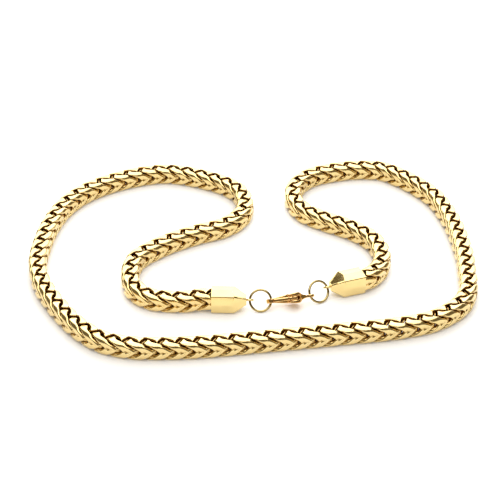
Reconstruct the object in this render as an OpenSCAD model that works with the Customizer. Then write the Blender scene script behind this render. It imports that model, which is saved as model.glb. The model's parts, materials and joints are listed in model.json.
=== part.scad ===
// Square gold necklace lying closed on a table.
// A square woven chain runs from one end cap to the other. A jump ring on each cap's
// eyelet joins it to a claw clasp with a sprung lever. All lengths are in millimetres.

/* [Chain] */
// Width of the square chain over its flats
chain_side = 6; // [5:0.25:7]
// Radius of the chain's four rounded long edges
chain_round = 1.5; // [1:0.1:1.8]
// Rings of the swept body in each half of the chain
half_rings = 40; // [32:1:40]

/* [End caps] */
// Gap between the chain and the inside of a cap
cap_gap = 0.15; // [0.1:0.05:0.3]
// Wall of a cap beside the chain's flats
cap_wall = 0.5; // [0.4:0.05:0.8]
// Length of a cap's straight body
cap_body_l = 6.7; // [6:0.1:10]
// Length of a cap's taper
cap_taper_l = 4.7; // [3.6:0.1:6]
// Width of the small square end of the taper
cap_tip_w = 2.6; // [2.2:0.1:3.2]
// How far the chain reaches into a cap
cap_grip = 5.2; // [4:0.2:6]
// How much lower a cap's corners are than the ridges along the middle of its faces
cap_ridge = 0.4; // [0.1:0.05:0.45]

/* [Eyelets] */
// Radius of an eyelet's hole
eyelet_hole_r = 0.7; // [0.7:0.05:1]
// Thickness of an eyelet's wire
eyelet_wire = 0.7; // [0.5:0.05:1]

/* [Jump rings] */
// Radius of a jump ring to the middle of its wire
ring_r = 3.5; // [2.8:0.1:4]
// Thickness of a jump ring's wire
ring_wire = 0.8; // [0.7:0.05:1]
// How far both jump rings lean back
ring_lean = 35; // [25:1:40]
// Heading of the left jump ring
ring_left_turn = 7; // [0:1:25]
// Heading of the right jump ring
ring_right_turn = 32; // [20:1:40]

/* [Clasp] */
// Length of the clasp from its nose to the middle of its eye
clasp_l = 14.7; // [14.5:0.1:18]
// Radius of the clasp's outline at the nose
nose_r = 2.2; // [2:0.1:2.6]
// Radius of the clasp's outline at the pin
heel_r = 2.6; // [2.4:0.1:3.2]
// Thickness of the clasp at its nose
nose_t = 1.5; // [1.3:0.1:2]
// Thickness of the clasp at its heel
heel_t = 3.6; // [2.8:0.1:4]
// Width of the clasp's hook wall
hook_wall = 1; // [0.8:0.05:1.1]
// Distance from the nose to the pin
pin_x = 9.6; // [9.2:0.1:10.4]
// Radius of the pin
pin_r = 0.4; // [0.3:0.05:0.5]
// Gap between the pin and the lever's hole
pin_run_gap = 0.05; // [0.03:0.01:0.08]
// Gap between the pin and the holes of the cheeks
pin_seat_gap = 0.02; // [0.01:0.01:0.03]
// Thickness of the lever
lever_t = 1.1; // [0.9:0.05:1.2]
// Gap between the lever and the body beside it and at its tip
lever_gap = 0.14; // [0.1:0.02:0.18]
// Height of the thumb nub above the lever's outer edge
nub_h = 0.8; // [0.5:0.1:1.2]
// Radius of the hole in the clasp's eye
eye_hole_r = 0.8; // [0.75:0.05:0.9]
// Width of the wall round the eye's hole
eye_wall = 0.7; // [0.6:0.05:0.9]
// Thickness of the eye and the neck
eye_t = 1; // [0.8:0.1:1.4]
// Width of the neck between the heel and the eye
neck_w = 1.7; // [1.4:0.1:2]

/* [Layout] */
// Heading of the clasp
clasp_turn = 13; // [10:1:18]
// Heading of the left cap, from its tip to its open end
cap_left_turn = 178; // [172:1:182]
// Heading of the right cap, from its tip to its open end
cap_right_turn = 20; // [16:1:26]

/* [Hidden] */

gold = [0.93, 0.74, 0.36];
pale_gold = [0.97, 0.86, 0.55];
$fn = 48;

// The middle line of the chain as it lies, from near the left cap to near the right cap
route_points = [
  [-24.5, -35.5], [-32.5, -34], [-38, -29], [-40, -20.5], [-38.5, -11.5],
  [-31.5, -3.5], [-18, 5.5], [-9.5, 9.5], [-4.5, 14.5], [-2, 20.5],
  [-2, 27], [-4, 33], [-8.5, 38], [-16, 42.5], [-30.5, 47],
  [-47.5, 42], [-61, 31.5], [-67, 21], [-70, 10], [-71.5, -2],
  [-71.5, -15], [-69, -25.5], [-64.5, -35], [-58.5, -45], [-53, -52],
  [-46.5, -57.5], [-38, -60.5], [-28, -61], [-13.5, -60], [3, -57.5],
  [28.5, -53.5], [50, -49.5], [57.5, -47], [63.5, -43], [69, -37],
  [72, -29], [72.5, -20.5], [73, -10.5], [72.5, 0], [71.5, 10],
  [69.5, 20], [66.5, 29.5], [61, 38], [55, 44.5], [49, 49],
  [41, 50], [30.5, 48], [22, 44], [17, 37.5], [15.5, 29],
  [18.5, 20.5], [25.5, 14.5], [32, 10.5], [38, 6], [42.5, 0.5],
  [44.5, -6], [44.5, -13], [42.5, -18.5]
];
// Where the clasp's nose lies, seen from above
nose_at = [5.3, -35.5];

// Turns and small vector helpers
quarter = 90;
function heading(a) = [cos(a), sin(a), 0];
function flat(p) = [p[0], p[1]];
function unit2(v) = v / norm(v);

// Jump rings lean back about their own horizontal diameter and stand on the table.
// ring_point is a point of the wire's middle line, seen from the ring's middle.
function ring_point(phi, turn) =
  ring_r * (cos(phi) * heading(turn)
  + sin(phi) * (sin(ring_lean) * heading(turn + quarter) + [0, 0, cos(ring_lean)]));
ring_z = ring_r * cos(ring_lean) + ring_wire / 2;
// Angle round a ring at which its wire is at a height
function ring_phi(z) = asin((z - ring_z) / (ring_r * cos(ring_lean)));

// The clasp leans with the rings, so that their wires pass straight through it
clasp_z = heel_r * sin(ring_lean) + heel_t / 2 * cos(ring_lean);
ring_room = 0.26;
hook_x = hook_wall + ring_room + ring_wire / 2;
function clasp_point(x) = [nose_at[0], nose_at[1], clasp_z] + x * heading(clasp_turn);
eye_ring_x = clasp_l + eye_hole_r - ring_wire / 2 - ring_room;
eye_r = eye_hole_r + eye_wall;

// Places of the rings and of the eyelets they pass through
cap_half = chain_side / 2 + cap_gap + cap_wall;
cap_corner = cap_half - cap_ridge;
cap_z = cap_half;
ring_left_at = clasp_point(hook_x) - ring_point(ring_phi(clasp_z), ring_left_turn);
ring_right_at = clasp_point(eye_ring_x)
  - ring_point(180 - ring_phi(clasp_z), ring_right_turn);
ring_left_out = ring_left_at + ring_point(180 - ring_phi(cap_z), ring_left_turn);
ring_right_out = ring_right_at + ring_point(ring_phi(cap_z), ring_right_turn);

// Each cap's frame starts at the middle of its eyelet and runs to its open end
eyelet_mid_r = eyelet_hole_r + eyelet_wire / 2;
eyelet_pull = eyelet_hole_r - ring_wire / 2 - ring_room;
cap_l = cap_body_l + cap_taper_l;
tip_x = eyelet_mid_r;
shoulder_x = tip_x + cap_taper_l;
tail_x = tip_x + cap_l;
cap_left_at = ring_left_out + eyelet_pull * heading(cap_left_turn);
cap_right_at = ring_right_out + eyelet_pull * heading(cap_right_turn);
function cap_left_point(x) = flat(cap_left_at + x * heading(cap_left_turn));
function cap_right_point(x) = flat(cap_right_at + x * heading(cap_right_turn));

// The chain's whole route: into each cap by the grip, with a straight lead outside it
lead_l = 1.8;
grip_x = tail_x - cap_grip;
route = concat(
  [cap_left_point(grip_x), cap_left_point(tail_x + lead_l)],
  route_points,
  [cap_right_point(tail_x + lead_l), cap_right_point(grip_x)]
);
route_n = len(route);

// Smooth curve through the route's points, with tangents weighted by the spans
function span(i) = norm(route[i + 1] - route[i]);
function tangent(i) =
  i == 0 ? unit2(route[1] - route[0]) :
  i == route_n - 1 ? unit2(route[i] - route[i - 1]) :
  ((route[i] - route[i - 1]) / span(i - 1) * span(i)
  + (route[i + 1] - route[i]) / span(i) * span(i - 1)) / (span(i - 1) + span(i));
function curve_point(i, t) =
  (2 * t * t * t - 3 * t * t + 1) * route[i]
  + (t * t * t - 2 * t * t + t) * span(i) * tangent(i)
  + (3 * t * t - 2 * t * t * t) * route[i + 1]
  + (t * t * t - t * t) * span(i) * tangent(i + 1);
fine_steps = 8;
fine = [
  for (i = [0 : route_n - 2]) for (k = [0 : fine_steps - 1]) curve_point(i, k / fine_steps),
  route[route_n - 1]
];
fine_n = len(fine);
function run_lengths(i = 1, sums = [0]) =
  i >= fine_n ? sums :
  run_lengths(i + 1, concat(sums, [sums[i - 1] + norm(fine[i] - fine[i - 1])]));
lengths = run_lengths();
chain_l = lengths[fine_n - 1];
x_by_length = [for (i = [0 : fine_n - 1]) [lengths[i], fine[i][0]]];
y_by_length = [for (i = [0 : fine_n - 1]) [lengths[i], fine[i][1]]];
function along(s) = [lookup(s, x_by_length), lookup(s, y_by_length)];

// The chain lies on the table and rises to the caps' middle height over this length
rise_l = 8.4;
function smooth(t) = t * t * (3 - 2 * t);
function end_share(s) = (min(s, chain_l - s) - cap_grip - lead_l) / rise_l;
function axis_z(s) =
  chain_side / 2 + (cap_z - chain_side / 2) * smooth(1 - max(0, min(1, end_share(s))));

// A square with rounded corners, as a ring of points
corner_points = 3;
function rounded_square(half, r) =
  [for (corner = [0 : 3])
    let (middle = (half - r) * sqrt(2) * heading(quarter * (corner + 1 / 2)))
    for (k = [0 : corner_points - 1])
      flat(middle + r * heading(quarter * (corner + k / (corner_points - 1))))];

// A ring of the swept body: the rounded square across the route
section = rounded_square(chain_side / 2, chain_round);
section_n = len(section);
look = 0.5;
function forward(s) = unit2(along(min(s + look, chain_l)) - along(max(s - look, 0)));
function ring_of_points(s) =
  let (p = along(s), f = forward(s), z = axis_z(s))
  [for (q = section) [p[0] - f[1] * q[0], p[1] + f[0] * q[0], z + q[1]]];
// The halves meet at the middle of the chain, a hair apart
meet_gap = 0.1;
function half_stations(first) =
  first ? [for (i = [0 : half_rings - 1]) i * (chain_l - meet_gap) / 2 / (half_rings - 1)]
  : [for (i = [0 : half_rings - 1])
      (chain_l + meet_gap) / 2 + i * (chain_l - meet_gap) / 2 / (half_rings - 1)];

// Shift that puts the origin under the middle of everything
edge_points = [for (s = concat(half_stations(true), half_stations(false))) each ring_of_points(s)];
edge_x = [for (p = edge_points) p[0]];
edge_y = [for (p = edge_points) p[1]];
shift = [-(min(edge_x) + max(edge_x)) / 2, -(min(edge_y) + max(edge_y)) / 2, 0];

// Body swept through the given stations
module swept(stations) {
  n = len(stations);
  points = [for (s = stations) each ring_of_points(s)];
  sides = [
    for (i = [0 : n - 2]) for (k = [0 : section_n - 1])
      let (a = i * section_n + k, b = i * section_n + (k + 1) % section_n)
      [a, a + section_n, b + section_n, b]
  ];
  first_end = [for (k = [0 : section_n - 1]) k];
  last_end = [for (k = [section_n - 1 : -1 : 0]) (n - 1) * section_n + k];
  polyhedron(points = points, faces = concat([first_end], sides, [last_end]));
}

module chain_left() {
  color(gold) translate(shift) swept(half_stations(true));
}

module chain_right() {
  color(gold) translate(shift) swept(half_stations(false));
}

// Section of a cap: square corners with a low ridge along the middle of each face
module cap_section() {
  polygon([
    [cap_half, 0], [cap_corner, cap_corner], [0, cap_half], [-cap_corner, cap_corner],
    [-cap_half, 0], [-cap_corner, -cap_corner], [0, -cap_half], [cap_corner, -cap_corner]
  ]);
}

// Side view of a cap: straight body and taper
module cap_profile() {
  polygon([
    [tip_x, -cap_tip_w / 2], [shoulder_x, -cap_half], [tail_x + 1, -cap_half - 1],
    [tail_x + 1, cap_half + 1], [shoulder_x, cap_half], [tip_x, cap_tip_w / 2]
  ]);
}

module along_x(length) {
  rotate([quarter, 0, quarter]) linear_extrude(length) children();
}

// Turns a flat side view in x and y upright, to reach this far to both sides
module upright(half_w) {
  translate([0, half_w, 0]) rotate([quarter, 0, 0]) linear_extrude(2 * half_w) children();
}

// Hollow cap with its eyelet, in the cap's own frame
module cap() {
  difference() {
    intersection() {
      translate([tip_x, 0, 0]) along_x(cap_l) cap_section();
      upright(cap_half + 1) cap_profile();
      slab(2 * cap_half + 2) cap_profile();
    }
    translate([grip_x - 2 * cap_gap, 0, 0]) along_x(cap_grip + 1) cap_socket();
  }
  rotate([-ring_lean, 0, 0]) rotate_extrude()
    translate([eyelet_mid_r, 0]) circle(d = eyelet_wire, $fn = 24);
}

module cap_socket() {
  polygon(rounded_square(chain_side / 2 + cap_gap, chain_round + cap_gap));
}

module end_cap_left() {
  color(pale_gold) translate(shift + cap_left_at) rotate([0, 0, cap_left_turn])
    mirror([0, 1, 0]) cap();
}

module end_cap_right() {
  color(pale_gold) translate(shift + cap_right_at) rotate([0, 0, cap_right_turn]) cap();
}

module jump_ring(at, turn) {
  color(gold) translate(shift + at) rotate([0, 0, turn]) rotate([quarter - ring_lean, 0, 0])
    rotate_extrude() translate([ring_r, 0]) circle(d = ring_wire, $fn = 24);
}

module jump_ring_left() {
  jump_ring(ring_left_at, ring_left_turn);
}

module jump_ring_right() {
  jump_ring(ring_right_at, ring_right_turn);
}

// Places within the clasp, in its own frame: x from the nose to the eye, the lever on the
// side of negative y, z through its thickness
heel_back = 0.2;
heel_x = pin_x - heel_back;
heel_end = heel_x + heel_r;
heel_ease = 1.2;
bay_nose_r = nose_r - hook_wall;
bay_back = 1.9;
bay_end = pin_x - bay_back;
bay_heel_r = 1.3;
pin_y = -0.8;
hub_wall = 0.6;
hub_r = pin_r + pin_run_gap + hub_wall;
tip_gap_x = hook_x + ring_wire / 2 + lever_gap;
slot_t = lever_t + 2 * lever_gap;
nub_l = 1.3;
nub_x = bay_end - nub_l / 2;

module in_clasp() {
  translate(shift + clasp_point(0)) rotate([0, 0, clasp_turn]) rotate([-ring_lean, 0, 0])
    children();
}

// Outline round two circles on the x axis, joined by their tangents
arc_steps = 14;
function arc_points(x, r, from, to) =
  [for (i = [0 : arc_steps])
    let (a = from + (to - from) * i / arc_steps) [x + r * cos(a), r * sin(a)]];
module tangent_outline(x1, r1, x2, r2) {
  lean = asin((r2 - r1) / (x2 - x1));
  polygon(concat(
    arc_points(x1, r1, quarter + lean, 3 * quarter - lean),
    arc_points(x2, r2, -quarter - lean, quarter + lean)
  ));
}

module clasp_outline() {
  tangent_outline(nose_r, nose_r, heel_x, heel_r);
}

module bay_outline() {
  tangent_outline(hook_wall + bay_nose_r, bay_nose_r, bay_end - bay_heel_r, bay_heel_r);
}

module slab(t) {
  translate([0, 0, -t / 2]) linear_extrude(t) children();
}

// Thickness of the clasp along its length, as seen from its edge: a wedge with an eased heel
module clasp_wedge() {
  upper_side = [
    [-1, nose_t / 2], [nose_r, nose_t / 2], [pin_x, heel_t / 2], [heel_end - heel_ease, heel_t / 2],
    [heel_end - heel_ease / 4, heel_t / 2 - heel_ease / 2], [heel_end + 1, heel_t / 2 - heel_ease]
  ];
  upright(heel_r + 1) mirrored_polygon(upper_side);
}

// Points above the x axis, joined with their mirror images below it
module mirrored_polygon(upper_side) {
  last = len(upper_side) - 1;
  lower_side = [for (i = [last : -1 : 0]) [upper_side[i][0], -upper_side[i][1]]];
  polygon(concat(upper_side, lower_side));
}

// The side that the lever closes
module gate_cut() {
  translate([tip_gap_x - lever_gap, -heel_r - 1]) square([bay_end - tip_gap_x, heel_r + 1]);
}

// The slot that the lever's root turns in
module root_slot() {
  low = -heel_r - 1;
  near = bay_end - bay_heel_r;
  far = pin_x + hub_r + lever_gap;
  translate([near, low]) square([far - near, pin_y + hub_r + lever_gap - low]);
}

// Neck from the heel to the eye, wide and thick at the heel, in plan and from its edge
neck_in = 1;
neck_out = 1.3;
module neck() {
  intersection() {
    slab(heel_t) mirrored_polygon([
      [heel_end - neck_in, neck_w], [heel_end + neck_out, neck_w / 2], [clasp_l, neck_w / 2]
    ]);
    upright(heel_r) mirrored_polygon([
      [heel_end - neck_in, heel_t / 2 - heel_ease / 2], [heel_end + neck_out, eye_t / 2],
      [clasp_l, eye_t / 2]
    ]);
  }
}

module clasp_body() {
  color(gold) in_clasp() {
    difference() {
      intersection() {
        slab(heel_t + 1) clasp_outline();
        clasp_wedge();
      }
      slab(heel_t + 1) bay_outline();
      slab(heel_t + 1) gate_cut();
      slab(slot_t) root_slot();
      translate([pin_x, pin_y, 0]) cylinder(r = pin_r + pin_seat_gap, h = heel_t + 1, center = true);
    }
    difference() {
      union() {
        neck();
        translate([clasp_l, 0, 0]) cylinder(r = eye_r, h = eye_t, center = true);
      }
      translate([clasp_l, 0, 0]) cylinder(r = eye_hole_r, h = eye_t + 1, center = true);
    }
  }
}

function edge_y(x) = nose_r + (heel_r - nose_r) * (x - nose_r) / (heel_x - nose_r);

// Flat shape of the lever: an arm along the outline, a round root and a thumb nub
module lever_outline() {
  low = -heel_r - 1;
  bay_mid = bay_end - bay_heel_r;
  intersection() {
    difference() {
      clasp_outline();
      bay_outline();
    }
    polygon([
      [tip_gap_x, low], [tip_gap_x, 0], [bay_mid - bay_heel_r / 4, 0], [bay_mid, -bay_heel_r],
      [pin_x, pin_y + hub_r], [pin_x + hub_r / 2, pin_y], [pin_x + hub_r / 2, low]
    ]);
  }
  translate([pin_x, pin_y]) circle(r = hub_r);
  translate([nub_x, -edge_y(nub_x) - nub_h]) square([nub_l, nub_h + hook_wall / 2]);
}

module clasp_lever() {
  color(gold) in_clasp() difference() {
    slab(lever_t) lever_outline();
    translate([pin_x, pin_y, 0])
      cylinder(r = pin_r + pin_run_gap, h = lever_t + 1, center = true);
  }
}

module clasp_pin() {
  color(pale_gold) in_clasp() translate([pin_x, pin_y, 0])
    cylinder(r = pin_r, h = heel_t - 0.1, center = true);
}

chain_left();
chain_right();
end_cap_left();
end_cap_right();
jump_ring_left();
jump_ring_right();
clasp_body();
clasp_lever();
clasp_pin();
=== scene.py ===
import json
import math

import bmesh
import bpy
import numpy as np
from mathutils import Matrix, Vector


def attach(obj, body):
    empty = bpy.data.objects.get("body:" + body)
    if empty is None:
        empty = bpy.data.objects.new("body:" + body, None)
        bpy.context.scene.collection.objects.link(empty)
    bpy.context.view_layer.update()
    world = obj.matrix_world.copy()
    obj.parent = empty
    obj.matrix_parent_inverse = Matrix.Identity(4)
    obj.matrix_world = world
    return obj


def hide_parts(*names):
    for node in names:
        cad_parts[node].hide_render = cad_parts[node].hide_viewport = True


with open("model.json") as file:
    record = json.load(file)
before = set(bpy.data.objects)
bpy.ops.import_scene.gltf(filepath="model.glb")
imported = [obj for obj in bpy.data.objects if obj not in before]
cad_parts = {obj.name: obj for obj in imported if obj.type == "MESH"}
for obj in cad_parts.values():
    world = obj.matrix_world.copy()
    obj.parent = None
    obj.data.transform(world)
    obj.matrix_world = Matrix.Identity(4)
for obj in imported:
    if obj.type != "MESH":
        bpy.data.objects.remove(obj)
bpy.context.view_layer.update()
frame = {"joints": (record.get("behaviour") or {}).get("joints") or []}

# Dresses the franco chain necklace: woven links replace the plain chain, softer copies replace the
# caps and the clasp, and all of it is gold and lies on a white table.

MM = 0.001

# Sizes that the part has too, in millimetres. Beyond the grip of a cap and a straight lead, the
# chain comes down to the table over its rise.
CHAIN_SIDE = 6.0
RISE_LENGTH = 8.4
LEAD = 1.8
CAP_HALF = 3.65
CAP_BODY = 6.7
CAP_TAPER = 4.7
CAP_GRIP = 5.2
EYELET_HOLE = 0.7
EYELET_WIRE = 0.7
RING_R = 3.5
RING_WIRE = 0.8
RING_ROOM = 0.26
CLASP_LENGTH = 14.7
HEEL_R = 2.6
HEEL_T = 3.6
HOOK_WALL = 1.0
EYE_HOLE = 0.8
PIN_X = 9.6
PIN_Y = -0.8

# How the small pieces lie, as in the part: headings in degrees, one shared lean, and the nose's place
CAP_LEFT_TURN = 178
CAP_RIGHT_TURN = 20
RING_LEFT_TURN = 7
RING_RIGHT_TURN = 32
CLASP_TURN = 13
RING_LEAN = math.radians(35)
NOSE_AT = (5.3, -35.5)
# Heights of the rings' middles and of the clasp's middle line, as they lean on the table
RING_Z = RING_R * math.cos(RING_LEAN) + RING_WIRE / 2
CLASP_Z = HEEL_R * math.sin(RING_LEAN) + HEEL_T / 2 * math.cos(RING_LEAN)

# The chain's middle line, the same points as in the part
ROUTE_POINTS = [
    (-24.5, -35.5), (-32.5, -34), (-38, -29), (-40, -20.5), (-38.5, -11.5),
    (-31.5, -3.5), (-18, 5.5), (-9.5, 9.5), (-4.5, 14.5), (-2, 20.5),
    (-2, 27), (-4, 33), (-8.5, 38), (-16, 42.5), (-30.5, 47),
    (-47.5, 42), (-61, 31.5), (-67, 21), (-70, 10), (-71.5, -2),
    (-71.5, -15), (-69, -25.5), (-64.5, -35), (-58.5, -45), (-53, -52),
    (-46.5, -57.5), (-38, -60.5), (-28, -61), (-13.5, -60), (3, -57.5),
    (28.5, -53.5), (50, -49.5), (57.5, -47), (63.5, -43), (69, -37),
    (72, -29), (72.5, -20.5), (73, -10.5), (72.5, 0), (71.5, 10),
    (69.5, 20), (66.5, 29.5), (61, 38), (55, 44.5), (49, 49),
    (41, 50), (30.5, 48), (22, 44), (17, 37.5), (15.5, 29),
    (18.5, 20.5), (25.5, 14.5), (32, 10.5), (38, 6), (42.5, 0.5),
    (44.5, -6), (44.5, -13), (42.5, -18.5),
]
# Steps of the smooth curve between two route points, and how far to both sides its heading looks
ROUTE_STEPS = 24
HEADING_REACH = 1.2

# The chain's rounded square: its corners' radius, half of each flat, and the quarter of its skin from
# the middle of one face to the middle of the next
CHAIN_ROUND = 1.5
CORE = CHAIN_SIDE / 2 - CHAIN_ROUND
QUARTER_SKIN = 2 * CORE + CHAIN_ROUND * math.pi / 2

# The weave: two mirrored rows of interlocked links, one above the other. Each upper link shows two
# bars, one over the front ridge and its half-turned twin over the back ridge. The links' pitch, the
# place of a link's middle in its own frame, and the first middle's distance from the chain's end.
PITCH = 5.5
LINK_MIDDLE = 4.03
LINK_REACH = 5.65

# Outline of the front bar on the chain's unrolled skin: u runs from the middle of the top face
# over the ridge and down to the middle of the front face, x along the chain.
# u, left edge, right edge
BAR_EDGES = [
    (-0.75, -0.10, -0.04), (-0.50, -0.20, 0.04), (-0.25, -0.36, 0.26), (0.00, -0.55, 0.62),
    (0.35, -0.82, 1.13), (0.70, -1.09, 1.64), (1.00, -1.34, 2.12), (1.25, -1.54, 2.84),
    (1.60, -1.34, 3.72), (1.90, -1.06, 4.22), (2.20, -0.68, 4.58), (2.42, -0.18, 4.60),
    (2.60, 0.44, 4.68), (3.00, 0.75, 5.00), (3.50, 1.35, 5.58), (3.90, 1.89, 6.10),
    (4.30, 2.41, 6.60), (4.70, 2.91, 7.06), (5.10, 3.31, 7.40), (QUARTER_SKIN, 3.47, 7.52),
]
BAR_ROWS = 34
BAR_THICK = 1.2
BAR_DEEPEST = 1.3
# Easing of a bar's edges as distance in from the edge and depth below the skin: a tighter left
# edge and a wider rounded right edge. Where a bar is narrower than EASE_WIDTH, both shrink with it.
LEFT_EASE = [(0.00, BAR_THICK), (0.00, 0.50), (0.07, 0.27), (0.20, 0.11), (0.42, 0.03), (0.75, 0.00)]
RIGHT_EASE = [
    (1.15, 0.00), (0.80, 0.05), (0.48, 0.18), (0.24, 0.38), (0.08, 0.66), (0.00, BAR_THICK),
]
EASE_WIDTH = 2.2
# Columns of points across a bar's flat, as shares of its width
FLAT_COLUMNS = [0.25, 0.5, 0.75]
# A bar dives a little at its start on the top face and at the fold of the V: run and depth
START_RUN = 0.5
START_DEEP = 0.4
FOLD_RUN = 0.2
FOLD_DEEP = 0.05
# The small dimple at the fold of each V: its place, half length, half height, depth, the steepness
# of its sides, and how much deeper it counts for the painted shade that darkens the gold
DIMPLE_X = 4.95
DIMPLE_LONG = 1.2
DIMPLE_TALL = 0.8
DIMPLE_DEEP = 0.30
DIMPLE_SLOPE = 1.6
DIMPLE_PAINTED_SHADE = 0.8

# Half of the wire's hidden way inside a link; the other half is the same, turned half a turn
INNER_WAY = [
    (-0.30, -0.40, 0.90), (-0.20, -0.55, 1.60), (0.30, -0.95, 2.00), (1.40, -1.70, 2.00),
    (2.60, -2.10, 1.70), (3.90, -2.15, 1.20), (5.00, -2.15, 0.60), (6.00, -1.95, 0.00),
    (6.95, -1.80, -0.25), (7.80, -1.30, -0.20), (8.30, -0.35, 0.20),
]
WIRE_R = 0.88
WIRE_STEPS = 44
WIRE_SIDES = 8
# Height of the point inside a link that the first side of its tubes faces away from
WIRE_EYE = 0.5
# The strand that shows in the gap across the top: half of its way from the link's middle, its
# radius, and the share of its depth that counts for the painted shade that darkens the gold
STRAND_WAY = [(0.00, 0.00, 2.28), (0.34, 0.44, 2.25), (0.68, 0.88, 2.05), (0.95, 1.23, 1.50)]
STRAND_R = 0.22
STRAND_PAINTED_SHADE = 0.45
# How much more painted shade the gaps across the top get than the slots of the flanks, and the width
# over which the one amount blends into the other
TOP_PAINTED_SHADE_GAIN = 2.2
TOP_BLEND = 0.8

# Jump rings: half of the fine seam's angle, where it is on each, steps round a ring, and sides of
# its wire
RING_SEAM = math.radians(0.35)
SEAM_LEFT = math.radians(65)
SEAM_RIGHT = math.radians(250)
RING_STEPS = 96
RING_SIDES = 16

# Castings: the spacing of the points over them, and how often and how far each point is eased
# towards its neighbours
CAST_GRID = 0.09
CAST_ROUNDS = 50
CAST_EASE = 0.5

# Caps and pin: how far from an edge the rounding starts. Edges that fold outward by more than this
# angle, and are longer than this, are rounded, in this many facets.
CAP_SOFT = 1.0
PIN_SOFT = 0.08
SOFT_FOLD = math.radians(20)
SOFT_LENGTH = 1.0
SOFT_SEGMENTS = 3
# An edge runs across a heading below this cosine, and then has this share of the rounding
ACROSS = 0.7
RIM_SHARE = 0.2
# Points nearer than this are one, and faces within this angle of one plane are one
SAME_POINT = 0.002
SAME_PLANE = math.radians(2)

# Shading stays sharp over folds beyond these angles
CAP_SHARP = math.radians(30)
RING_SHARP = math.radians(35)
LINK_SHARP = math.radians(50)

# The gold's painted shade: a brown painted into the depths of the weave, and the depths where it starts
# and is full
PAINTED_SHADE_TONE = (0.32, 0.155, 0.012)
PAINTED_SHADE_FROM = 0.04
PAINTED_SHADE_FULL = 1.3
# Patches of slight colour drift, and hairlines: their noise, from low to high, takes the roughness
# from the smoother to the rougher share of its middle value, and dents the surface this deep
PATCH_SCALE = 220
PATCH_DETAIL = 4
HAIR_DETAIL = 6
HAIR_SWIRL = 1.5
HAIR_LOW = 0.3
HAIR_HIGH = 0.7
SMOOTHER = 0.7
ROUGHER = 1.4
HAIR_DEEP = 0.02
# Sockets of a mix node that mixes colours
MIX_FACTOR = 0
MIX_FIRST = 6
MIX_SECOND = 7
MIX_RESULT = 2

# The camera, from the photo's perspective: elevation, distance and focal length
LOOK_ELEVATION = math.radians(33)
LOOK_DISTANCE = 551.9
FOCAL_PX = 1596
IMAGE_PX = 500
SENSOR_MM = 36
CLIP_START = 10

# The studio, in metres: the table lies a hair below the part, and carries a faint painted glow that
# lifts the shadows on it
TABLE_SIZE = 4.0
TABLE_DROP = 0.00002
TABLE_WHITE = 0.92
TABLE_ROUGH = 0.5
TABLE_PAINTED_GLOW = 0.13
SOFTBOX_RADIANCE = 2.3
ROOM_TONE = (1, 0.84, 0.55)
ROOM_GLOW = 0.16


def heading(degrees):
    """The level direction at this many degrees from the x axis."""
    a = math.radians(degrees)
    return np.array([math.cos(a), math.sin(a), 0.0])


def ring_up(turn):
    """The direction in a leaning jump ring's plane that points up along the lean."""
    return math.sin(RING_LEAN) * heading(turn + 90) + np.array([0, 0, math.cos(RING_LEAN)])


def ring_out(phi, turn):
    """The direction from a leaning jump ring's middle to the point of it at the angle phi."""
    return math.cos(phi) * heading(turn) + math.sin(phi) * ring_up(turn)


def ring_phi(z):
    """The angle at which a leaning jump ring passes the height z."""
    return math.asin((z - RING_Z) / (RING_R * math.cos(RING_LEAN)))


def clasp_point(x):
    """The point of the clasp's middle line at the distance x from its nose."""
    return np.array([*NOSE_AT, CLASP_Z]) + x * heading(CLASP_TURN)


def in_clasp(x, y, z):
    """A point of the clasp's own frame, in the route's frame."""
    side = y * math.cos(RING_LEAN) + z * math.sin(RING_LEAN)
    lift = z * math.cos(RING_LEAN) - y * math.sin(RING_LEAN)
    return clasp_point(x) + side * heading(CLASP_TURN + 90) + np.array([0, 0, lift])


# Where the rings and caps are, worked out from the clasp, with room between each wire and what it
# hangs in
hook_x = HOOK_WALL + RING_ROOM + RING_WIRE / 2
eye_x = CLASP_LENGTH + EYE_HOLE - RING_WIRE / 2 - RING_ROOM
at_clasp = ring_phi(CLASP_Z)
at_cap = ring_phi(CAP_HALF)
ring_left_at = clasp_point(hook_x) - RING_R * ring_out(at_clasp, RING_LEFT_TURN)
ring_right_at = clasp_point(eye_x) - RING_R * ring_out(math.pi - at_clasp, RING_RIGHT_TURN)
eyelet_pull = EYELET_HOLE - RING_WIRE / 2 - RING_ROOM
cap_left_at = (ring_left_at + RING_R * ring_out(math.pi - at_cap, RING_LEFT_TURN)
               + eyelet_pull * heading(CAP_LEFT_TURN))
cap_right_at = (ring_right_at + RING_R * ring_out(at_cap, RING_RIGHT_TURN)
                + eyelet_pull * heading(CAP_RIGHT_TURN))
tip_x = EYELET_HOLE + EYELET_WIRE / 2
tail_x = tip_x + CAP_BODY + CAP_TAPER
grip_x = tail_x - CAP_GRIP

# The part's origin is under its middle: the hinge's place gives the shift from the route's frame
hinge = np.array(frame["joints"][0]["pos_m"]) / MM
shift = hinge - in_clasp(PIN_X, PIN_Y, 0)


def blended_slope(way_in, way_out, span_in, span_out):
    """The slope at a point, from the ways in and out of it: the shorter side counts more."""
    return (way_in * span_out + way_out * span_in) / (span_in + span_out)


def cubic(t, start, end, start_slope, end_slope):
    """The cubic from start to end with these slopes at its ends, for t from 0 to 1."""
    return ((2 * t**3 - 3 * t**2 + 1) * start + (t**3 - 2 * t**2 + t) * start_slope
            + (3 * t**2 - 2 * t**3) * end + (t**3 - t**2) * end_slope)


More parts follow.
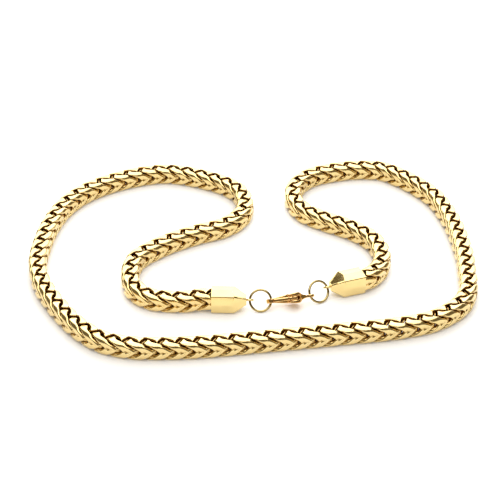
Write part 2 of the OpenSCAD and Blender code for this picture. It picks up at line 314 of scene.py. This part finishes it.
def route_curve():
    """The whole middle line as a dense smooth curve, with its running length."""
    def cap_point(at, turn, x):
        return (at + x * heading(turn))[:2]

    route = np.array([
        cap_point(cap_left_at, CAP_LEFT_TURN, grip_x),
        cap_point(cap_left_at, CAP_LEFT_TURN, tail_x + LEAD),
        *ROUTE_POINTS,
        cap_point(cap_right_at, CAP_RIGHT_TURN, tail_x + LEAD),
        cap_point(cap_right_at, CAP_RIGHT_TURN, grip_x),
    ])
    gaps = np.diff(route, axis=0)
    spans = np.linalg.norm(gaps, axis=1)[:, None]
    ways = gaps / spans
    slopes = np.vstack([ways[:1], blended_slope(ways[:-1], ways[1:], spans[:-1], spans[1:]), ways[-1:]])
    t = np.linspace(0, 1, ROUTE_STEPS, endpoint=False)[:, None]
    parts = [cubic(t, route[i], route[i + 1], span * slopes[i], span * slopes[i + 1])
             for i, span in enumerate(spans)]
    curve = np.vstack(parts + [route[-1:]])
    lengths = np.concatenate([[0], np.cumsum(np.linalg.norm(np.diff(curve, axis=0), axis=1))])
    return curve, lengths


curve, lengths = route_curve()
chain_length = lengths[-1]


def along(s):
    """Points and left-hand normals of the middle line at running lengths s."""
    def at(v):
        v = np.clip(v, 0, chain_length)
        return np.stack([np.interp(v, lengths, curve[:, 0]), np.interp(v, lengths, curve[:, 1])], 1)

    way = at(s + HEADING_REACH) - at(s - HEADING_REACH)
    way /= np.linalg.norm(way, axis=1)[:, None]
    return at(s), np.stack([-way[:, 1], way[:, 0]], 1)


def smooth_step(t):
    """Goes smoothly from 0 to 1 while t does, and stays there."""
    t = np.clip(t, 0, 1)
    return t * t * (3 - 2 * t)


def axis_height(s):
    """The chain lies on the table and rises to the caps' middle height at its ends."""
    from_end = np.minimum(s, chain_length - s) - CAP_GRIP - LEAD
    return CHAIN_SIDE / 2 + (CAP_HALF - CHAIN_SIDE / 2) * smooth_step(1 - from_end / RISE_LENGTH)


def onto_route(points, s0):
    """Bends points of the straight chain's frame onto the route, in metres."""
    s = s0 + points[:, 0]
    middle, left = along(s)
    xy = middle + left * points[:, 1:2]
    z = axis_height(s) + points[:, 2]
    return (np.column_stack([xy, z]) + shift) * MM


def closed_curve(points, steps):
    """Points eased into a smooth closed curve, sampled evenly along its length."""
    after = np.roll(points, -1, 0)
    before = np.roll(points, 1, 0)
    span = np.linalg.norm(after - points, axis=1)[:, None]
    last = np.roll(span, 1, 0)
    slope = blended_slope((points - before) / last, (after - points) / span, last, span)
    run = np.concatenate([[0], np.cumsum(span)])
    s = np.linspace(0, run[-1], steps, endpoint=False)
    i = np.searchsorted(run, s, side="right") - 1
    j = (i + 1) % len(points)
    t = (s - run[i])[:, None] / span[i]
    return cubic(t, points[i], points[j], span[i] * slope[i], span[i] * slope[j])


def on_skin(u, depth):
    """Wraps a distance over the chain's skin, and a depth below it, onto y and z."""
    bend = np.clip((u - CORE) / CHAIN_ROUND, 0, math.pi / 2)
    down = np.maximum(u - CORE - CHAIN_ROUND * math.pi / 2, 0)
    y = -np.minimum(u, CORE) - (CHAIN_ROUND - depth) * np.sin(bend)
    z = CORE + (CHAIN_ROUND - depth) * np.cos(bend) - down
    return y, z


def skin_depth(points):
    """How far points lie below the surface of the chain's rounded square."""
    dy = np.maximum(np.abs(points[:, 1]) - CORE, 0)
    dz = np.maximum(np.abs(points[:, 2]) - CORE, 0)
    return CHAIN_ROUND - np.hypot(dy, dz)


def loop_faces(rings, sides):
    """Faces of a closed run of rings, each with as many points as it has sides."""
    faces = []
    for i in range(rings):
        for k in range(sides):
            j = (i + 1) % rings
            m = (k + 1) % sides
            faces.append((i * sides + k, i * sides + m, j * sides + m, j * sides + k))
    return faces


def strip_faces(rings, sides):
    """Faces of an open run of rings with both ends closed."""
    faces = loop_faces(rings, sides)[:(rings - 1) * sides]
    faces.append(tuple(reversed(range(sides))))
    faces.append(tuple(range((rings - 1) * sides, rings * sides)))
    return faces


def bar():
    """The front bar of an upper link: points, their depths for the painted shade (more in the dimple)
    and faces.
    """
    table = np.array(BAR_EDGES)
    u = np.linspace(table[0, 0], table[-1, 0], BAR_ROWS)
    left = np.interp(u, table[:, 0], table[:, 1])
    right = np.interp(u, table[:, 0], table[:, 2])
    for edge in (left, right):
        edge[1:-1] = (edge[:-2] + 2 * edge[1:-1] + edge[2:]) / 4
    scale = np.minimum(1, (right - left) / EASE_WIDTH)

    def edge_depth(d):
        return d * np.where(d < BAR_THICK, scale, 1)

    flat_left = left + LEFT_EASE[-1][0] * scale
    flat_right = right - RIGHT_EASE[0][0] * scale
    columns = [(left + x * scale, edge_depth(d)) for x, d in LEFT_EASE]
    columns += [(flat_left + (flat_right - flat_left) * share, np.zeros(BAR_ROWS))
                for share in FLAT_COLUMNS]
    columns += [(right - x * scale, edge_depth(d)) for x, d in RIGHT_EASE]
    x = np.stack([column[0] for column in columns], 1)
    depth = np.stack([column[1] for column in columns], 1)
    rows = np.repeat(u[:, None], len(columns), 1)
    start = smooth_step((u[0] + START_RUN - rows) / START_RUN) * START_DEEP
    fold = smooth_step((rows - QUARTER_SKIN + FOLD_RUN) / FOLD_RUN) * FOLD_DEEP
    near = 1 - np.hypot((x - DIMPLE_X) / DIMPLE_LONG, (QUARTER_SKIN - rows) / DIMPLE_TALL)
    dimple = smooth_step(near * DIMPLE_SLOPE)
    depth = np.minimum(depth + start + fold + dimple * DIMPLE_DEEP, BAR_DEEPEST)
    points = np.stack([x, *on_skin(rows, depth)], 2).reshape(-1, 3)
    # The second value is the depth for the painted shade, with extra painted shade in the dimple
    return points, (depth + dimple * DIMPLE_PAINTED_SHADE).reshape(-1), strip_faces(BAR_ROWS, len(columns))


def tube(line, radius, closed):
    """A round tube along a line of points, with faces; its first side faces out of the link."""
    ahead = np.roll(line, -1, 0)
    behind = np.roll(line, 1, 0)
    if not closed:
        ahead[-1] = line[-1]
        behind[0] = line[0]
    way = ahead - behind
    way /= np.linalg.norm(way, axis=1)[:, None]
    look = line - np.array([LINK_MIDDLE, 0, WIRE_EYE])
    out = look - way * np.sum(way * look, axis=1)[:, None]
    out /= np.linalg.norm(out, axis=1)[:, None]
    across = np.cross(way, out)
    turns = np.arange(WIRE_SIDES) * 2 * math.pi / WIRE_SIDES
    points = np.stack([line + radius * (math.cos(a) * out + math.sin(a) * across) for a in turns], 1)
    faces = (loop_faces if closed else strip_faces)(len(line), WIRE_SIDES)
    return points.reshape(-1, 3), faces


def half_turned(points):
    """The same points turned half a turn about the upright through the link's middle."""
    return points * np.array([-1, -1, 1]) + np.array([2 * LINK_MIDDLE, 0, 0])


def link_skin():
    """A whole upper link: its two bars, the wire inside and the strand in the top gap."""
    bar_points, bar_shade_depth, bar_faces = bar()
    way = np.array(INNER_WAY)
    wire_line = closed_curve(np.vstack([way, half_turned(way)]), WIRE_STEPS)
    wire, wire_faces = tube(wire_line, WIRE_R, True)
    half = np.array(STRAND_WAY) + np.array([LINK_MIDDLE, 0, 0])
    strand_line = np.vstack([half_turned(half)[:0:-1], half])
    strand, strand_faces = tube(strand_line, STRAND_R, False)
    parts = [(bar_points, bar_shade_depth, bar_faces),
             (half_turned(bar_points), bar_shade_depth, bar_faces),
             (wire, skin_depth(wire), wire_faces),
             (strand, skin_depth(strand) * STRAND_PAINTED_SHADE, strand_faces)]
    faces = []
    count = 0
    for part_points, _, part_faces in parts:
        faces += [tuple(count + v for v in f) for f in part_faces]
        count += len(part_points)
    points = np.vstack([part[0] for part in parts])
    depths = np.concatenate([part[1] for part in parts])
    # Painted shade: the gaps across the top get more of it than the slots of the flanks
    over = smooth_step((points[:, 2] - np.abs(points[:, 1])) / TOP_BLEND)
    return points, depths * (1 + TOP_PAINTED_SHADE_GAIN * over), faces


def mesh_object(name, vertices, faces, sharp):
    """An object of these points and faces, shaded smooth up to the angle sharp."""
    mesh = bpy.data.meshes.new(name)
    mesh.from_pydata([tuple(v) for v in vertices], [], faces)
    mesh.update()
    ob = bpy.data.objects.new(name, mesh)
    bpy.context.scene.collection.objects.link(ob)
    for face in mesh.polygons:
        face.use_smooth = True
    mesh.set_sharp_from_angle(angle=sharp)
    return ob


def chain_links(name, places, upper):
    """One row of links, joined into one mesh that carries each point's painted shade, set by how deep
    in the weave it lies.
    """
    skin, depth, faces = link_skin()
    if not upper:
        skin = skin * np.array([1, 1, -1])
        faces = [tuple(reversed(f)) for f in faces]
    skin = skin - np.array([LINK_MIDDLE, 0, 0])
    vertices = np.vstack([onto_route(skin, s) for s in places])
    count = len(skin)
    all_faces = [tuple(i * count + v for v in f) for i in range(len(places)) for f in faces]
    ob = mesh_object(name, vertices, all_faces, LINK_SHARP)
    # Each point carries its amount of painted shade, which the gold's colour reads
    painted_shade = ob.data.attributes.new("painted_shade", "FLOAT", "POINT")
    painted_shade.data.foreach_set("value", np.tile(depth, len(places)).astype(np.float32))
    return ob


def jump_ring(name, at, turn, split):
    """A closed ring of round wire, with the fine seam of its joint at the angle split."""
    normal = np.cross(ring_up(turn), heading(turn))
    vertices = []
    for phi in np.linspace(split + RING_SEAM, split + 2 * math.pi - RING_SEAM, RING_STEPS):
        out = ring_out(phi, turn)
        for k in range(RING_SIDES):
            q = 2 * math.pi * k / RING_SIDES
            around = math.cos(q) * out + math.sin(q) * normal
            vertices.append((at + RING_R * out + RING_WIRE / 2 * around + shift) * MM)
    return mesh_object(name, vertices, strip_faces(RING_STEPS, RING_SIDES), RING_SHARP)


def solid_copy(node, name):
    """A new object with a bare copy of a CAD node's mesh."""
    mesh = bpy.data.objects[node].data.copy()
    mesh.materials.clear()
    ob = bpy.data.objects.new(name, mesh)
    bpy.context.scene.collection.objects.link(ob)
    return ob


def softened(node, name, width, turn=None):
    """A copy of a CAD solid with its edges rounded, to replace the node.

    Where a turn is given, the edges across that heading are thin rims and are rounded less.
    """
    ob = solid_copy(node, name)
    bm = bmesh.new()
    bm.from_mesh(ob.data)
    bmesh.ops.remove_doubles(bm, verts=bm.verts, dist=SAME_POINT * MM)
    bmesh.ops.dissolve_limit(bm, angle_limit=SAME_PLANE, verts=bm.verts, edges=bm.edges)
    weight = bm.edges.layers.float.new("bevel_weight_edge")
    for edge in bm.edges:
        long = edge.calc_length() > SOFT_LENGTH * MM
        if long and edge.is_convex and edge.calc_face_angle() > SOFT_FOLD:
            way = np.array((edge.verts[1].co - edge.verts[0].co).normalized())
            rim = turn is not None and abs(way @ heading(turn)) < ACROSS
            edge[weight] = RIM_SHARE if rim else 1.0
    bm.to_mesh(ob.data)
    bm.free()
    bevel = ob.modifiers.new("round", "BEVEL")
    bevel.width = width * MM
    bevel.segments = SOFT_SEGMENTS
    bevel.limit_method = "WEIGHT"
    for face in ob.data.polygons:
        face.use_smooth = True
    ob.data.set_sharp_from_angle(angle=CAP_SHARP)
    return ob


def cast(node, name):
    """A copy of a CAD solid with the all-round softness of a casting, to replace the node.

    The mesh is in millimetres while it is remeshed and eased.
    """
    ob = solid_copy(node, name)
    ob.data.transform(Matrix.Scale(1 / MM, 4))
    grid = ob.modifiers.new("grid", "REMESH")
    grid.mode = "VOXEL"
    grid.voxel_size = CAST_GRID
    ease = ob.modifiers.new("ease", "SMOOTH")
    ease.factor = CAST_EASE
    ease.iterations = CAST_ROUNDS
    shaped = ob.evaluated_get(bpy.context.evaluated_depsgraph_get())
    ob.data = bpy.data.meshes.new_from_object(shaped)
    ob.modifiers.clear()
    ob.data.transform(Matrix.Scale(MM, 4))
    for face in ob.data.polygons:
        face.use_smooth = True
    return ob


def gold(name, colour, deep, rough, hair_scale, grain, with_painted_shade=False):
    """Polished gold plating: slight colour drift, soft wear patches and fine hairlines."""
    mat = bpy.data.materials.new(name)
    mat.use_nodes = True
    nodes = mat.node_tree.nodes
    links = mat.node_tree.links
    shader = nodes["Principled BSDF"]
    shader.inputs["Metallic"].default_value = 1.0
    place = nodes.new("ShaderNodeTexCoord")

    def noise(scale, detail, swirl=0.0):
        node = nodes.new("ShaderNodeTexNoise")
        node.inputs["Scale"].default_value = scale
        node.inputs["Detail"].default_value = detail
        node.inputs["Distortion"].default_value = swirl
        links.new(place.outputs["Object"], node.inputs["Vector"])
        return node.outputs["Fac"]

    def spread(value, low, high):
        node = nodes.new("ShaderNodeMapRange")
        node.inputs["From Min"].default_value = low
        node.inputs["From Max"].default_value = high
        links.new(value, node.inputs["Value"])
        return node

    def mix(factor):
        node = nodes.new("ShaderNodeMix")
        node.data_type = "RGBA"
        links.new(factor, node.inputs[MIX_FACTOR])
        return node

    tint = mix(noise(PATCH_SCALE, PATCH_DETAIL))
    tint.inputs[MIX_FIRST].default_value = (*colour, 1)
    tint.inputs[MIX_SECOND].default_value = (*deep, 1)
    tone = tint.outputs[MIX_RESULT]
    hair = noise(hair_scale, HAIR_DETAIL, HAIR_SWIRL)
    wear = spread(hair, HAIR_LOW, HAIR_HIGH)
    wear.inputs["To Min"].default_value = rough * SMOOTHER
    wear.inputs["To Max"].default_value = rough * ROUGHER
    links.new(wear.outputs["Result"], shader.inputs["Roughness"])
    bump = nodes.new("ShaderNodeBump")
    bump.inputs["Strength"].default_value = grain
    bump.inputs["Distance"].default_value = HAIR_DEEP * MM
    links.new(hair, bump.inputs["Height"])
    links.new(bump.outputs["Normal"], shader.inputs["Normal"])
    # Painted shade: the gold's colour turns brown where a point of the weave lies deep
    if with_painted_shade:
        depth = nodes.new("ShaderNodeAttribute")
        depth.attribute_name = "painted_shade"
        shade = spread(depth.outputs["Fac"], PAINTED_SHADE_FROM, PAINTED_SHADE_FULL)
        shade.interpolation_type = "SMOOTHSTEP"
        dark = mix(shade.outputs["Result"])
        links.new(tone, dark.inputs[MIX_FIRST])
        dark.inputs[MIX_SECOND].default_value = (*PAINTED_SHADE_TONE, 1)
        tone = dark.outputs[MIX_RESULT]
    links.new(tone, shader.inputs["Base Color"])
    return mat


def dress(ob, body, mat, node):
    """Gives a piece its material and slot, and lets it ride a body and replace a CAD node."""
    ob.data.materials.clear()
    ob.data.materials.append(mat)
    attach(ob, body)
    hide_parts(node)


def lay_table():
    """A plain white surface under the necklace, with a faint painted glow."""
    bpy.ops.mesh.primitive_plane_add(size=TABLE_SIZE, location=(0, 0, -TABLE_DROP))
    table = bpy.context.object
    table.name = "table"
    paper = bpy.data.materials.new("table_white")
    paper.use_nodes = True
    looks = paper.node_tree.nodes["Principled BSDF"].inputs
    looks["Base Color"].default_value = (TABLE_WHITE, TABLE_WHITE, TABLE_WHITE, 1)
    looks["Roughness"].default_value = TABLE_ROUGH
    # Painted light: a faint glow on the table that lifts its shadows
    looks["Emission Color"].default_value = (1, 1, 1, 1)
    looks["Emission Strength"].default_value = TABLE_PAINTED_GLOW
    table.data.materials.append(paper)


def softbox(name, place, aim, width, height):
    """A rectangular light of the studio's shared brightness, facing along aim."""
    lamp = bpy.data.lights.new(name, "AREA")
    lamp.shape = "RECTANGLE"
    lamp.size = width
    lamp.size_y = height
    lamp.energy = SOFTBOX_RADIANCE * math.pi * width * height
    ob = bpy.data.objects.new(name, lamp)
    ob.location = Vector(place)
    ob.rotation_euler = Vector(aim).to_track_quat("-Z", "Y").to_euler()
    bpy.context.scene.collection.objects.link(ob)


def dim_room():
    """The warm dim room round the lights, which the gold's dark stretches reflect."""
    world = bpy.data.worlds.new("studio_world")
    bpy.context.scene.world = world
    world.use_nodes = True
    background = world.node_tree.nodes["Background"].inputs
    background["Color"].default_value = (*ROOM_TONE, 1)
    background["Strength"].default_value = ROOM_GLOW


def photo_camera():
    """The photo's camera, which looks at the route's origin."""
    scene = bpy.context.scene
    data = bpy.data.cameras.new("photo_camera")
    data.sensor_width = SENSOR_MM
    data.lens = FOCAL_PX * SENSOR_MM / IMAGE_PX
    data.clip_start = CLIP_START * MM
    camera = bpy.data.objects.new("photo_camera", data)
    back = Vector((0, -math.cos(LOOK_ELEVATION), math.sin(LOOK_ELEVATION)))
    camera.location = Vector(shift * MM) + back * LOOK_DISTANCE * MM
    camera.rotation_euler = (-back).to_track_quat("-Z", "Y").to_euler()
    scene.collection.objects.link(camera)
    scene.camera = camera


# The golds
chain_gold = gold("chain_gold", colour=(0.92, 0.735, 0.37), deep=(0.83, 0.61, 0.25),
                  rough=0.16, hair_scale=900, grain=0.10, with_painted_shade=True)
cap_gold = gold("cap_gold", colour=(0.89, 0.71, 0.34), deep=(0.82, 0.62, 0.26),
                rough=0.10, hair_scale=700, grain=0.05)
# The rings' gold, which the pin shares, is darkened: painted shade for the dark reflections along their
# wire
ring_gold = gold("ring_gold", colour=(0.50, 0.40, 0.19), deep=(0.40, 0.30, 0.12),
                 rough=0.10, hair_scale=1500, grain=0.04)
clasp_gold = gold("clasp_gold", colour=(0.95, 0.65, 0.30), deep=(0.87, 0.54, 0.21),
                  rough=0.14, hair_scale=900, grain=0.04)

# The pieces: the links are spread evenly, and each half of the chain has two rows of its own
link_count = round((chain_length - 2 * LINK_REACH) / PITCH) + 1
link_places = np.linspace(LINK_REACH, chain_length - LINK_REACH, link_count)
in_left_half = link_places < chain_length / 2
for side, places in (("left", link_places[in_left_half]), ("right", link_places[~in_left_half])):
    for row in ("upper", "lower"):
        dress(chain_links(f"{row}_links_{side}", places, row == "upper"), "necklace", chain_gold,
              f"chain_{side}")
for side, turn in (("left", CAP_LEFT_TURN), ("right", CAP_RIGHT_TURN)):
    dress(softened(f"end_cap_{side}", f"cap_shell_{side}", CAP_SOFT, turn), "necklace", cap_gold,
          f"end_cap_{side}")
dress(jump_ring("ring_wire_left", ring_left_at, RING_LEFT_TURN, SEAM_LEFT), "necklace", ring_gold,
      "jump_ring_left")
dress(jump_ring("ring_wire_right", ring_right_at, RING_RIGHT_TURN, SEAM_RIGHT), "necklace", ring_gold,
      "jump_ring_right")
dress(cast("clasp_body", "clasp_casting"), "necklace", clasp_gold, "clasp_body")
dress(cast("clasp_lever", "lever_casting"), "lever", clasp_gold, "clasp_lever")
dress(softened("clasp_pin", "pin_rivet", PIN_SOFT), "necklace", ring_gold, "clasp_pin")

# The studio
lay_table()
softbox("roof", place=(0, 0.2, 0.9), aim=(0, 0, -1), width=1.15, height=1.9)
softbox("back_wall", place=(0, 1.2, 0.6), aim=(0, -1, 0), width=2.1, height=1.0)
dim_room()
bpy.context.scene.view_settings.view_transform = "Standard"
photo_camera()
